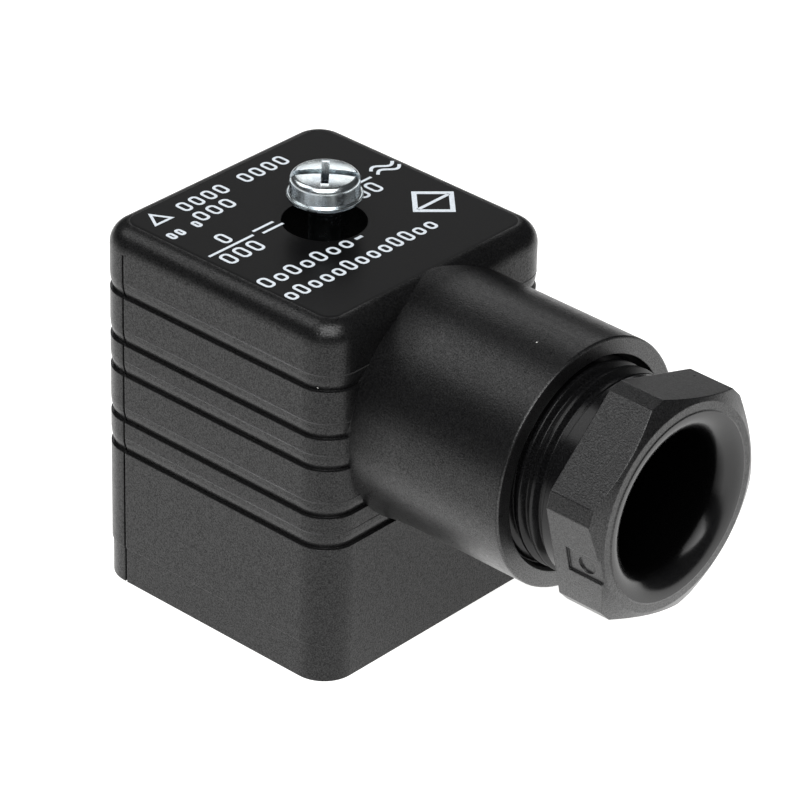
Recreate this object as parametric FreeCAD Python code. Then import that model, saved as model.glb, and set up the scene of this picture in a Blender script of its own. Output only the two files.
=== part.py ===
import FreeCAD, Part
import math
import os

V = FreeCAD.Vector

# ---------------------------------------------------------------------------
# Rectangular cable connector for a solenoid coil, with a rectifier inside.
# Millimetres. +Z runs up the central fixing screw, +X out along the cable
# gland. The origin is the centre of the contact face, which lies on z = 0.
# ---------------------------------------------------------------------------

# Housing
HALF = 14.0                 # half the width over the ribs
HEIGHT = 35.4
CORNER_R = 3.2              # vertical corners
TOP_EDGE_R = 2.05
RIM_HALF = 13.89            # slightly set-in band above the contact face
RIM_Z = 3.67
LEDGES = (13.52, 16.63, 21.33, 24.43, 29.10)
LEDGE_DEPTH = 0.36
# wall above a ledge, as (height over the ledge, share of the ledge's depth still missing)
LEDGE_CURVE = ((0.0, 1.0), (0.25, 0.72), (0.6, 0.38), (1.0, 0.13), (1.57, 0.0))
CAP_Z = LEDGES[-1] + 2.0    # plain wall above the top ledge
PARTING_X = -10.5           # mould parting groove, down both side walls
PARTING_HALF = 0.11
PARTING_DEPTH = 0.2
CAVITY_HALF = 12.0
CAVITY_R = 1.4
CAVITY_TOP = 33.4
SCREW_HOLE_R = 3.74
SEAT_Z = 29.85              # where the fixing screw's seal comes to rest
BOSS_R = 4.95
BOSS_Z = 26.9
SCREW_BORE_R = 1.75
RETAINER_R = 3.0
RETAINER_BORE_R = 1.45
RETAINER_T = 1.25

# Cable gland, on an axis parallel to X
GLAND_Z = 24.06
COLLAR_R = 11.33
COLLAR_START = 11.0         # inside the box
COLLAR_END = 30.37
COLLAR_EDGE_R = 0.2
COLLAR_FLARE = 0.5          # how much deeper the collar is underneath where it meets the wall
COLLAR_FLARE_X = (COLLAR_START, 12.4, 13.7, 14.2, 14.8, 15.6, 16.8, 18.4, 20.4, 22.6, 24.0)
FLARE_LENGTH = 1.9
MOUTH_R = 9.79
MOUTH_NECK_R = 9.6
MOUTH_DEPTH = 1.35
SEAT_X = 13.6               # the rubber seal rests on this wall
WIRE_HOLE_R = 6.0
SEAL_BORE_R = 8.76
PITCH = 25.4 / 18.0         # size 11 conduit thread, 18.6 mm over the crests
THREAD_FROM = 19.2
THREAD_BORE_R = 9.36        # the housing's thread is a plain bore, clear of the nut's crests
THREAD_R = 9.2
THREAD_ROOT_R = 8.6
THREAD_FOOT = 1.06          # axial width of a ridge at its foot
THREAD_CREST = 0.3
UNDERCUT_X = 33.0
NECK_R = 9.1

# Gland nut
NUT_IN = 23.5
NUT_BACK = 34.96
NUT_CORNER_X = 39.51
NUT_FRONT = 40.28
NUT_LIP = 40.36
FLATS = 19.52               # across the flats
CORNERS = 21.64             # across the cut corners
CORNER_ANGLE = -13.4        # first cut corner, from +Z towards +Y
RING_R = 9.39
LIP_R = 8.54
NUT_BORE_R = 6.3
FUNNEL_R = LIP_R - NUT_BORE_R
POCKET_X = 36.53            # plain square pocket with a dimple on one flat
POCKET_HALF = 1.3
POCKET_DEPTH = 0.2
POCKET_FLAT = CORNER_ANGLE + 270
DIMPLE_R = 0.85
DIMPLE_DEPTH = 0.36

# Washer and seal inside the gland
WASHER_X = (22.5, 23.4)
WASHER_R = (5.8, 8.58)
GROMMET_X = (SEAT_X + 0.02, 22.45)
GROMMET_R = (4.0, 8.5)
GROMMET_LIPS = 4

# Fixing screw
SHANK_R = 1.4
M3_R = 1.5
M3_CHAMFER = 0.45
M3_TOP = 16.0
FLANGE_Z = 37.8
FLANGE_R = 3.33
FLANGE_T = 0.42
HEAD_R = 3.06
HEAD_TOP = 40.2
HEAD_DOME = 0.12
HEAD_EDGE_R = 0.32
SLOT_WIDTH = 0.88
SLOT_DEPTH = 0.95
SLOT_ANGLE = 41.8           # the slot's direction, from +X towards +Y
CROSS_DEPTH = 1.7
CROSS_FOOT = (0.2, 1.5)     # half width and half length of the cross recess
CROSS_MOUTH = (0.36, 2.1)
SEAL_WIRE_R = 0.42          # O-ring under the flange

# Contact carrier
CARRIER_HALF = 11.8
CARRIER_R = 1.2
NOSE_HALF = 10.5
NOSE_Z = 0.3
NOSE_R = 1.0
STEP_Z = 2.0
DECK_Z = 9.0
SLEEVE_R = 2.9
SLEEVE_TOP = 19.6
CONTACT_R = 9.0             # contacts stand 18 mm apart
POCKET = (3.4, 0.92)        # half length and half width of a contact pocket
SLOT_HALF = 0.65            # half width of a blade slot
POCKET_FLOOR = 1.1
CORE_R = 1.6                # cored-out holes in the corners
CORE_POST = 11.0
CORE_TOP = 6.5

# Spring forks, for blades 6.3 mm wide and 0.8 mm thick
FORK_HALF = 3.0
FORK_TOP = 8.4
FORK_INNER = ((0.72, 1.2), (0.43, 3.2), (0.44, 4.2), (0.48, 8.0))
FORK_OUTER = ((0.84, FORK_TOP), (0.84, 4.4), (0.82, 3.2), (0.88, 1.2))
FORK_SLIT = (0.4, 7.2)      # half width and top of the slit between two fingers
STRIP_HALF = 0.4            # half thickness of the tails
TAIL_AT = 2.4
TAIL_HALF = 0.6
STRAP_HALF = 1.4

# Circuit board and what it carries
BOARD_T = 1.0
BOARD_TOP = DECK_Z + BOARD_T
BOARD_HALF = 10.8
TERMINAL_AT = {"1": (-1.5, 7.1), "2": (-1.5, -7.1), "earth": (-7.7, 0.0)}
BLOCK_HALF = 3.0
BLOCK_TOP = 13.0
LUG_HALF = 1.1
LUG_T = 0.3
LUG_TOP = 17.2
GROOVE_AT = 2.1
PIN_AT = 2.3                # solder pin, from the block's centre towards the middle of the board
PIN_HALF = (0.5, 0.3)
CLAMP_Z = 14.2
CLAMP_T = 0.8
CLAMP_HALF = (2.75, 2.5)
CLAMP_TOOTH = 0.35
CLAMP_HOLE_R = 1.55
TERM_HOLE_R = 1.55
TERM_SCREW_R = 1.48
TERM_HEAD_R = 2.5
TERM_HEAD_H = 1.8
TERM_TIP = 11.2
DIODE = (2.6, 4.3, 2.1)
DIODE_AT = {"1": (5.3, 3.3), "2": (8.8, 3.3), "3": (5.3, -3.3), "4": (8.8, -3.3)}

# Profile gasket round the carrier's nose
GASKET_HALF = 11.85
GASKET_Z = (0.05, STEP_Z - 0.05)
GASKET_GROOVE = (11.0, 11.5, 0.35)


def block(x0, x1, y0, y1, z0, z1):
    """Axis-aligned block between two corners."""
    return Part.makeBox(x1 - x0, y1 - y0, z1 - z0, V(x0, y0, z0))


def centred(half_x, half_y, z0, z1, x=0.0, y=0.0):
    """Block centred on an upright line."""
    return block(x - half_x, x + half_x, y - half_y, y + half_y, z0, z1)


def post(r, z0, z1, x=0.0, y=0.0):
    """Upright cylinder."""
    return Part.makeCylinder(r, z1 - z0, V(x, y, z0))


def square_wire(half, r, z):
    """Rounded square outline at height z, centred on the Z axis."""
    s = half - r
    k = r * math.sqrt(0.5)
    edges = []
    for i in range(4):
        a = math.radians(90.0 * i)
        c, n = math.cos(a), math.sin(a)
        corner = [(half, -s), (half, s), (s + k, s + k), (s, half)]
        p = [V(x * c - y * n, x * n + y * c, z) for x, y in corner]
        edges.append(Part.makeLine(p[0], p[1]))
        edges.append(Part.Arc(p[1], p[2], p[3]).toShape())
    return Part.Wire(edges)


def slab(half, r, z0, z1):
    """Rounded square plate."""
    return Part.Face(square_wire(half, r, z0)).extrude(V(0, 0, z1 - z0))


def revolved(points, base, axis):
    """Solid of revolution of a closed outline."""
    return Part.Face(Part.makePolygon(points + [points[0]])).revolve(base, axis, 360)


def turned_z(profile):
    """Solid of revolution about the Z axis, from (height, radius) pairs."""
    return revolved([V(r, 0, z) for z, r in profile], V(0, 0, 0), V(0, 0, 1))


def turned_x(profile):
    """Solid of revolution about the gland axis, from (x, radius) pairs."""
    return revolved([V(x, 0, GLAND_Z + r) for x, r in profile], V(0, 0, GLAND_Z), V(1, 0, 0))


def gland_post(r, x0, x1):
    """Cylinder on the gland axis."""
    return Part.makeCylinder(r, x1 - x0, V(x0, 0, GLAND_Z), V(1, 0, 0))


def around(shape, degrees):
    """The shape turned about the Z axis."""
    copy = shape.copy()
    copy.rotate(V(0, 0, 0), V(0, 0, 1), degrees)
    return copy


def helix_ridge(x0, x1, foot_r, crest_r, foot_width, crest_width):
    """Right-hand helical ridge on the gland axis, trimmed square at x0 and x1."""
    start = (math.floor(x0 / PITCH) - 1) * PITCH
    length = x1 - start + 2 * PITCH
    helix = Part.makeHelix(PITCH, length, foot_r)
    outline = [
        V(foot_r, 0, -foot_width / 2),
        V(crest_r, 0, -crest_width / 2),
        V(crest_r, 0, crest_width / 2),
        V(foot_r, 0, foot_width / 2),
    ]
    section = Part.makePolygon(outline + [outline[0]])
    ridge = Part.Wire(helix.Edges).makePipeShell([section], True, True)
    ridge.rotate(V(0, 0, 0), V(0, 1, 0), 90)
    ridge.translate(V(start, 0, GLAND_Z))
    low, high = foot_r - 0.5, crest_r + 0.5
    return ridge.common(turned_x([(x0, low), (x0, high), (x1, high), (x1, low)]))


# --- housing ---------------------------------------------------------------

def ribbed_tier(low, high, shrink):
    """One shingle of the wall: set in at the ledge below it, curving out to full width."""
    outline = [(low + rise, LEDGE_DEPTH * share) for rise, share in LEDGE_CURVE]
    outline.append((high, 0.0))
    wires = [square_wire(HALF - shrink - inset, CORNER_R - inset, z) for z, inset in outline]
    return Part.makeLoft(wires, True, True)


def walls(shrink):
    """Walls from the contact face to the plain band under the top edge, set in by shrink."""
    rim = slab(RIM_HALF - shrink, CORNER_R - HALF + RIM_HALF, 0, RIM_Z)
    wall = slab(HALF - shrink, CORNER_R, RIM_Z, LEDGES[0])
    tops = LEDGES[1:] + (CAP_Z,)
    return [rim, wall] + [ribbed_tier(low, high, shrink) for low, high in zip(LEDGES, tops)]


def collar_ring(x):
    """Outline of the collar: its top runs straight, its underside flares towards the wall."""
    drop = COLLAR_FLARE * math.exp(-max(0.0, x - COLLAR_FLARE_X[2]) / FLARE_LENGTH)
    if x == COLLAR_FLARE_X[-1]:
        drop = 0.0
    centre = V(x, 0, GLAND_Z - drop / 2)
    return Part.Wire(Part.Circle(centre, V(1, 0, 0), COLLAR_R + drop / 2).toShape())


def housing_shell():
    """Outer shape of the housing, without its hollows."""
    cap = slab(HALF, CORNER_R, CAP_Z, HEIGHT)
    top_edges = [e for e in cap.Edges if e.BoundBox.ZMin > HEIGHT - 0.001]
    cap = cap.makeFillet(TOP_EDGE_R, top_edges)
    flare = Part.makeLoft([collar_ring(x) for x in COLLAR_FLARE_X], True, False)
    r, e = COLLAR_R, COLLAR_EDGE_R
    collar = turned_x([
        (COLLAR_FLARE_X[-1], 0),
        (COLLAR_FLARE_X[-1], r),
        (COLLAR_END - e, r),
        (COLLAR_END - 0.3 * e, r - 0.3 * e),
        (COLLAR_END, r - e),
        (COLLAR_END, 0),
    ])
    solids = walls(0.0)
    return solids[0].multiFuse(solids[1:] + [cap, flare, collar])


def parting_groove():
    """Fine groove down both side walls, over the ribs, where the mould opened."""
    x0, x1 = PARTING_X - PARTING_HALF, PARTING_X + PARTING_HALF
    plate = block(x0, x1, -HALF - 1, HALF + 1, -1, HEIGHT - TOP_EDGE_R)
    core = walls(PARTING_DEPTH) + [slab(HALF - PARTING_DEPTH, CORNER_R, CAP_Z, HEIGHT)]
    return plate.cut(core)


def make_housing():
    cavity = slab(CAVITY_HALF, CAVITY_R, -1, CAVITY_TOP).cut(post(BOSS_R, BOSS_Z, CAVITY_TOP + 1))
    gland_bore = turned_x([
        (CAVITY_HALF - 1, 0),
        (CAVITY_HALF - 1, WIRE_HOLE_R),
        (SEAT_X, WIRE_HOLE_R),
        (SEAT_X, SEAL_BORE_R),
        (THREAD_FROM, SEAL_BORE_R),
        (THREAD_FROM, THREAD_BORE_R),
        (COLLAR_END - MOUTH_DEPTH, THREAD_BORE_R),
        (COLLAR_END - MOUTH_DEPTH / 3, MOUTH_NECK_R),
        (COLLAR_END, MOUTH_R),
        (COLLAR_END + 1, MOUTH_R),
        (COLLAR_END + 1, 0),
    ])
    screw_recess = post(SCREW_HOLE_R, SEAT_Z, HEIGHT + 1)
    screw_bore = post(SCREW_BORE_R, BOSS_Z - 1, SEAT_Z + 1)
    retainer_seat = post(RETAINER_R, BOSS_Z - 1, BOSS_Z + RETAINER_T + 0.05)
    shell = housing_shell().cut(parting_groove())
    return shell.cut(cavity).cut([screw_recess, screw_bore, retainer_seat, gland_bore])


def make_screw_retainer():
    ring = post(RETAINER_R - 0.02, BOSS_Z, BOSS_Z + RETAINER_T)
    return ring.cut(post(RETAINER_BORE_R, BOSS_Z - 1, BOSS_Z + 2 * RETAINER_T))


# --- cable gland -----------------------------------------------------------

def cut_hexagon(x):
    """Outline of a hexagon with cut corners, in the plane at x."""
    apothem = FLATS / 2
    cut = CORNERS / 2
    overhang = apothem / math.cos(math.radians(30)) - cut
    half_facet = overhang * math.tan(math.radians(60))
    points = []
    for k in range(6):
        t = math.radians(CORNER_ANGLE + 60 * k)
        for s in (-half_facet, half_facet):
            y = cut * math.sin(t) + s * math.cos(t)
            z = cut * math.cos(t) - s * math.sin(t)
            points.append(V(x, y, GLAND_Z + z))
    return Part.makePolygon(points + [points[0]])


def nut_head():
    """Hexagonal head with its front coned down to a narrow ring and a raised lip."""
    prism = Part.Face(cut_hexagon(NUT_BACK)).extrude(V(NUT_LIP - NUT_BACK, 0, 0))
    slope = (NUT_FRONT - NUT_CORNER_X) / (CORNERS / 2 - RING_R)
    wide = CORNERS
    cone_start = NUT_FRONT - slope * (wide - RING_R)
    form = turned_x([
        (NUT_BACK, 0),
        (NUT_BACK, 0.6 * wide),
        (NUT_FRONT - slope * (0.6 * wide - RING_R), 0.6 * wide),
        (NUT_FRONT, RING_R),
        (NUT_FRONT, LIP_R + 0.12),
        (NUT_LIP, LIP_R),
        (NUT_LIP, 0),
    ])
    return prism.common(form)


def make_gland_nut():
    neck = turned_x([
        (NUT_IN, 0),
        (NUT_IN, THREAD_ROOT_R - 0.5),
        (NUT_IN + 0.5, THREAD_ROOT_R),
        (UNDERCUT_X, THREAD_ROOT_R),
        (UNDERCUT_X + 0.3, NECK_R),
        (NUT_BACK + 0.5, NECK_R),
        (NUT_BACK + 0.5, 0),
    ])
    ridge = helix_ridge(
        NUT_IN + 0.5, UNDERCUT_X - 0.2, THREAD_ROOT_R - 0.1, THREAD_R, THREAD_FOOT, THREAD_CREST)
    nut = nut_head().fuse(neck).fuse(ridge)
    arc_x = NUT_LIP - FUNNEL_R
    mouth = gland_post(LIP_R, arc_x, NUT_LIP + 1)
    rounding = Part.makeTorus(LIP_R, FUNNEL_R, V(arc_x, 0, GLAND_Z), V(1, 0, 0))
    face = GLAND_Z + FLATS / 2
    pocket = block(POCKET_X, NUT_LIP + 1, -POCKET_HALF, POCKET_HALF, face - POCKET_DEPTH, face + 1)
    dimple = post(DIMPLE_R, face - DIMPLE_DEPTH, face + 1, POCKET_X + 1.5 * POCKET_HALF)
    for cutter in (pocket, dimple):
        cutter.rotate(V(0, 0, GLAND_Z), V(1, 0, 0), -POCKET_FLAT)
    return nut.cut([gland_post(NUT_BORE_R, NUT_IN - 1, NUT_LIP), mouth.cut(rounding), pocket, dimple])


def make_thrust_washer():
    x0, x1 = WASHER_X
    r0, r1 = WASHER_R
    e = 0.1
    return turned_x([
        (x0 + e, r0), (x0, r0 + e), (x0, r1 - e), (x0 + e, r1),
        (x1 - e, r1), (x1, r1 - e), (x1, r0 + e), (x1 - e, r0),
    ])


def make_grommet():
    x0, x1 = GROMMET_X
    r0, r1 = GROMMET_R
    outline = [(x0, r0 + 0.4), (x0 + 0.4, r0), (x1 - 1.2, r0), (x1, r0 + 1.1), (x1, r1 - 0.3)]
    step = (x1 - x0 - 0.6) / GROMMET_LIPS
    for i in range(GROMMET_LIPS):
        x = x1 - 0.3 - i * step
        outline += [(x, r1), (x - 0.55 * step, r1), (x - 0.78 * step, r1 - 0.35)]
    outline += [(x0 + 0.3, r1), (x0, r1 - 0.3)]
    return turned_x(outline)


# --- fixing screw ----------------------------------------------------------

def make_fixing_screw():
    flange_top = FLANGE_Z + FLANGE_T
    shoulder = HEAD_TOP - HEAD_DOME
    e = HEAD_EDGE_R
    screw = turned_z([
        (0, 0),
        (0, M3_R - M3_CHAMFER),
        (M3_CHAMFER, M3_R),
        (M3_TOP, M3_R),
        (M3_TOP + 0.3, SHANK_R),
        (FLANGE_Z, SHANK_R),
        (FLANGE_Z, FLANGE_R - 0.1),
        (FLANGE_Z + 0.1, FLANGE_R),
        (flange_top - 0.08, FLANGE_R),
        (flange_top, FLANGE_R - 0.1),
        (flange_top, HEAD_R),
        (shoulder - e, HEAD_R),
        (shoulder - 0.5 * e, HEAD_R - 0.13 * e),
        (shoulder - 0.13 * e, HEAD_R - 0.5 * e),
        (shoulder, HEAD_R - e),
        (HEAD_TOP - 0.03, HEAD_R / 2),
        (HEAD_TOP, 0),
    ])
    slot = centred(2 * HEAD_R, SLOT_WIDTH / 2, HEAD_TOP - SLOT_DEPTH, HEAD_TOP + 1)
    outlines = []
    for (half_x, half_y), z in ((CROSS_FOOT, HEAD_TOP - CROSS_DEPTH), (CROSS_MOUTH, HEAD_TOP + 0.3)):
        signs = ((-1, -1), (1, -1), (1, 1), (-1, 1), (-1, -1))
        outlines.append(Part.makePolygon([V(i * half_x, j * half_y, z) for i, j in signs]))
    cross = Part.makeLoft(outlines, True, True)
    return screw.cut([around(slot, SLOT_ANGLE), around(cross, SLOT_ANGLE)])


def make_screw_seal():
    ring_r = SHANK_R + SEAL_WIRE_R + 0.06
    return Part.makeTorus(ring_r, SEAL_WIRE_R, V(0, 0, FLANGE_Z - SEAL_WIRE_R - 0.04), V(0, 0, 1))


# --- contact carrier -------------------------------------------------------

def make_contact_carrier():
    body = slab(NOSE_HALF, NOSE_R, NOSE_Z, STEP_Z + 0.5)
    body = body.fuse(slab(CARRIER_HALF, CARRIER_R, STEP_Z, DECK_Z))
    body = body.fuse(post(SLEEVE_R, DECK_Z - 1, SLEEVE_TOP))
    long, wide = POCKET
    slot = centred(SLOT_HALF, long, 0, POCKET_FLOOR + 0.1, CONTACT_R)
    pocket = centred(wide, long, POCKET_FLOOR, DECK_Z + 1, CONTACT_R)
    spare_slot = centred(SLOT_HALF, long, 0, CORE_TOP, CONTACT_R)
    core = post(CORE_R, -1, CORE_TOP, CORE_POST)
    cuts = [post(SCREW_BORE_R, -1, SLEEVE_TOP + 1), spare_slot]
    for quarter in (90, 180, 270):
        cuts += [around(slot, quarter), around(pocket, quarter)]
    for corner in (45, 135, 225, 315):
        cuts.append(around(core, corner))
    for name in ("1", "2"):
        x, y = pin_place(name)
        cuts.append(centred(PIN_HALF[0] + 0.2, PIN_HALF[1] + 0.2, DECK_Z - 0.9, DECK_Z + 1, x, y))
    return body.cut(cuts)


def spring_fork():
    """Female contact on +X, its blade's width along Y."""
    leaves = []
    for side in (-1, 1):
        outline = FORK_INNER + ((0.0, FORK_INNER[-1][1]), (0.0, FORK_TOP)) + FORK_OUTER
        points = [V(CONTACT_R + side * x, -FORK_HALF, z) for x, z in outline]
        leaves.append(Part.Face(Part.makePolygon(points + [points[0]])).extrude(V(0, 2 * FORK_HALF, 0)))
    half, top = FORK_SLIT
    return leaves[0].fuse(leaves[1]).cut(centred(2, half, 0, top, CONTACT_R)).removeSplitter()


def make_contact(quarter, tail_y):
    """Fork with a solder tail through the board."""
    tail = centred(STRIP_HALF, TAIL_HALF, FORK_TOP - 0.2, BOARD_TOP + 0.8, CONTACT_R, tail_y)
    return around(spring_fork().fuse(tail), quarter)


def pin_place(name):
    """Where a supply terminal's solder pin goes through the board."""
    x, y = TERMINAL_AT[name]
    return x, y - math.copysign(PIN_AT, y)


def place_terminal(shape, name):
    """Moves a terminal's piece from the Z axis to its place, the wire coming from the board's middle."""
    if name == "earth":
        shape = around(shape, 90)
    x, y = TERMINAL_AT[name]
    shape.translate(V(x, y, 0))
    return shape


def terminal_block(bottom):
    """Clamping block with a threaded hole, wire grooves and two guide lugs for the clamp."""
    h = BLOCK_HALF
    body = centred(h, h, bottom, BLOCK_TOP)
    upright = [e for e in body.Edges if e.BoundBox.ZLength > 1]
    body = body.makeFillet(0.4, upright)
    grooves = []
    lugs = []
    for side in (-1, 1):
        grooves.append(centred(2 * h, 0.12, BLOCK_TOP - 0.15, BLOCK_TOP + 1, 0, side * GROOVE_AT))
        lugs.append(centred(LUG_HALF, LUG_T / 2, BLOCK_TOP - 0.1, LUG_TOP, 0, side * (h - LUG_T / 2)))
    return body.cut(grooves).fuse(lugs).cut(post(TERM_HOLE_R, bottom - 1, BLOCK_TOP + 1))


def make_terminal(name):
    body = place_terminal(terminal_block(BOARD_TOP + 0.02), name)
    x, y = pin_place(name)
    return body.fuse(centred(PIN_HALF[0], PIN_HALF[1], DECK_Z - 0.6, BOARD_TOP + 0.1, x, y))


def make_contact_earth():
    """Fork, strap through the board and clamping block in one piece."""
    strap = centred(STRIP_HALF, STRAP_HALF, FORK_TOP - 0.2, BOARD_TOP + 0.1, CONTACT_R)
    fork = around(spring_fork().fuse(strap), 180)
    return fork.fuse(place_terminal(terminal_block(BOARD_TOP + 0.05), "earth"))


def make_clamp(name):
    """Pressure plate with two toothed edges."""
    half_x, half_y = CLAMP_HALF
    plate = centred(half_x, half_y, CLAMP_Z, CLAMP_Z + CLAMP_T)
    edge = half_x - 0.25
    teeth = [centred(0.25, half_y, CLAMP_Z - CLAMP_TOOTH, CLAMP_Z + 0.1, side * edge) for side in (-1, 1)]
    return place_terminal(plate.fuse(teeth).cut(post(CLAMP_HOLE_R, 0, HEIGHT)), name)


def make_terminal_screw(name):
    foot = CLAMP_Z + CLAMP_T + 0.02
    top = foot + TERM_HEAD_H
    screw = turned_z([
        (TERM_TIP, 0),
        (TERM_TIP, TERM_SCREW_R - 0.3),
        (TERM_TIP + 0.3, TERM_SCREW_R),
        (foot, TERM_SCREW_R),
        (foot, TERM_HEAD_R),
        (top - 0.25, TERM_HEAD_R),
        (top, TERM_HEAD_R - 0.25),
        (top, 0),
    ])
    slot = centred(2 * TERM_HEAD_R, 0.35, top - 0.8, top + 1)
    cross = centred(0.3, 1.5, top - 1.0, top + 1)
    return place_terminal(screw.cut([slot, cross]), name)


def make_circuit_board():
    cuts = [post(SLEEVE_R + 0.2, 0, HEIGHT)]
    cuts.append(centred(STRIP_HALF + 0.3, STRAP_HALF + 0.3, 0, HEIGHT, -CONTACT_R))
    for side in (-1, 1):
        cuts.append(centred(TAIL_HALF + 0.2, STRIP_HALF + 0.2, 0, HEIGHT, TAIL_AT, side * CONTACT_R))
    for name in ("1", "2"):
        x, y = pin_place(name)
        cuts.append(centred(PIN_HALF[0] + 0.1, PIN_HALF[1] + 0.1, 0, HEIGHT, x, y))
    return slab(BOARD_HALF, 1.0, DECK_Z, BOARD_TOP).cut(cuts)


def make_diode(name):
    """Surface-mounted diode with two legs bent under its ends."""
    x, y = DIODE_AT[name]
    half_x, half_y, height = DIODE[0] / 2, DIODE[1] / 2, DIODE[2]
    top = BOARD_TOP + height
    body = centred(half_x, half_y, BOARD_TOP + 0.15, top, x, y)
    body = body.makeChamfer(0.2, [e for e in body.Edges if e.BoundBox.ZMin > top - 0.001])
    legs = []
    for side in (-1, 1):
        legs.append(centred(0.75, 0.6, BOARD_TOP + 0.01, BOARD_TOP + 0.2, x, y + side * (half_y - 0.2)))
        legs.append(centred(0.75, 0.1, BOARD_TOP + 0.15, BOARD_TOP + 1.1, x, y + side * (half_y + 0.1)))
    return body.fuse(legs)


def make_profile_gasket():
    low, high = GASKET_Z
    inner, outer, depth = GASKET_GROOVE
    ring = slab(GASKET_HALF, 1.3, low, high).cut(slab(NOSE_HALF + 0.03, NOSE_R, -1, STEP_Z + 1))
    groove = slab(outer, 1.1, -1, depth).cut(slab(inner, NOSE_R, -2, STEP_Z))
    return ring.cut(groove)


# --- the whole connector ---------------------------------------------------

def all_parts():
    """Every sub-part by its node name."""
    parts = {
        "housing": make_housing(),
        "screw_retainer": make_screw_retainer(),
        "gland_nut": make_gland_nut(),
        "thrust_washer": make_thrust_washer(),
        "grommet": make_grommet(),
        "fixing_screw": make_fixing_screw(),
        "screw_seal": make_screw_seal(),
        "contact_carrier": make_contact_carrier(),
        "profile_gasket": make_profile_gasket(),
        "contact_1": make_contact(90, -TAIL_AT),
        "contact_2": make_contact(270, TAIL_AT),
        "contact_earth": make_contact_earth(),
        "terminal_1": make_terminal("1"),
        "terminal_2": make_terminal("2"),
        "circuit_board": make_circuit_board(),
    }
    for name in TERMINAL_AT:
        parts["clamp_" + name] = make_clamp(name)
        parts["terminal_screw_" + name] = make_terminal_screw(name)
    for name in DIODE_AT:
        parts["diode_" + name] = make_diode(name)
    return parts


os.makedirs("parts", exist_ok=True)
for node, shape in all_parts().items():
    shape.exportStep("parts/" + node + ".step")
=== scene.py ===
import math

import bmesh
import bpy
from mathutils import Matrix, Vector


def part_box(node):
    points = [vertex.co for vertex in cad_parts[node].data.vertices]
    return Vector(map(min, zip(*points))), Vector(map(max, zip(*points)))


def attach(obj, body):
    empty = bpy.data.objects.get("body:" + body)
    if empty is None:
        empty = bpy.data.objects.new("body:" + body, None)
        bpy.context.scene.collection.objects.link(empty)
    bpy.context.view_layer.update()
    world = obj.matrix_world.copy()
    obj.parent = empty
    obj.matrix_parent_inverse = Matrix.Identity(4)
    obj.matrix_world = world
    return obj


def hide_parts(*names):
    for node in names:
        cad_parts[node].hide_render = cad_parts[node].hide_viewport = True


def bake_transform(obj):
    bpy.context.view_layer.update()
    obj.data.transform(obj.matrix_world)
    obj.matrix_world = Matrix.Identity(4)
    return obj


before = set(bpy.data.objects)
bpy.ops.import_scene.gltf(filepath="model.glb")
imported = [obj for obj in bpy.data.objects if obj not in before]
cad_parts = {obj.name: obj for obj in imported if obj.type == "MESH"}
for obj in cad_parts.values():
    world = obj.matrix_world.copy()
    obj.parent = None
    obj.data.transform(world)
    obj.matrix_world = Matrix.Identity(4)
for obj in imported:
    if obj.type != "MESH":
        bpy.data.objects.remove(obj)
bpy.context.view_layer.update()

MM = 0.001

# Camera: where it stands round the object and its twist, in degrees, its distance and the point it
# looks at, in millimetres
CAMERA_AZIMUTH = 41.782
CAMERA_ELEVATION = 30.894
CAMERA_ROLL = 1.517
CAMERA_DISTANCE = 408.446
CAMERA_LENS = 211.19             # focal length, for a picture 36 mm wide
LOOK_NEAR = (8.0, 0.0, 17.0)
LOOK_OFFSET = (1.024, 3.221)     # right and up in the picture

# Lights: the side each stands on, its size in metres and its power in watts
LIGHTS = {
    "upper_left": ((-0.57, -0.24, 0.78), 0.45, 1.35),
    "back_left": ((-0.57, 0.64, 0.51), 0.38, 0.64),
    "key": ((0.35, -0.4, 0.85), 0.7, 8.0),
}
LIGHT_DISTANCE = 0.8
LIGHTS_AIM = (0.012, 0, 0.02)    # the middle of the connector, in metres

# The connector, in millimetres
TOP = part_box("housing")[1].z / MM
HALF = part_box("housing")[1].y / MM
CORNER_R = 3.2
GLAND_Z = 24.06
TOP_FACE_END = 12.2              # just past the flat top along X, where the collar's crest begins
COLLAR_START, COLLAR_END = HALF + 0.02, 30.37    # the collar outside the walls, along X
PARTING_X = -10.5                # the mould's parting groove, down both side walls
HEAD_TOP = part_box("fixing_screw")[1].z / MM
FLANGE_Z = 37.8                  # the underside of the fixing screw's flange
SLOT_ANGLE = math.radians(41.8)
SCREW_PITCH = 0.5                # of every screw, M3
BOARD_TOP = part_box("circuit_board")[1].z / MM

# Names that the CAD nodes of repeated sub-parts end with
TERMINALS = ("1", "2", "earth")
DIODES = ("1", "2", "3", "4")

# Raised lines where the ribs' curves run out into the wall: heights, and the section's points as
# (out from the wall, up)
CREASES = (15.09, 18.20, 22.90, 26.00, 30.67)
CREASE_SECTION = ((-0.02, -0.1), (0.01, -0.05), (0.018, 0.0), (0.01, 0.05), (-0.02, 0.1))

# The housing's internal thread: where it runs along X, its radii, and half its width at the wall and
# at the crest
PITCH = 25.4 / 18.0
THREAD_FROM, THREAD_TO = 19.7, 28.9
THREAD_WALL_R, THREAD_CREST_R = 9.42, 8.78
THREAD_WALL_HALF, THREAD_CREST_HALF = 0.52, 0.2

# The printing: its film, its usual stroke, and the heights of its taller and lower boxes
INK_LOW, INK_HIGH = TOP - 0.01, TOP + 0.016
STROKE = 0.27
TALL, LOW = 1.75, 1.3


# --- meshes ------------------------------------------------------------------

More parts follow.
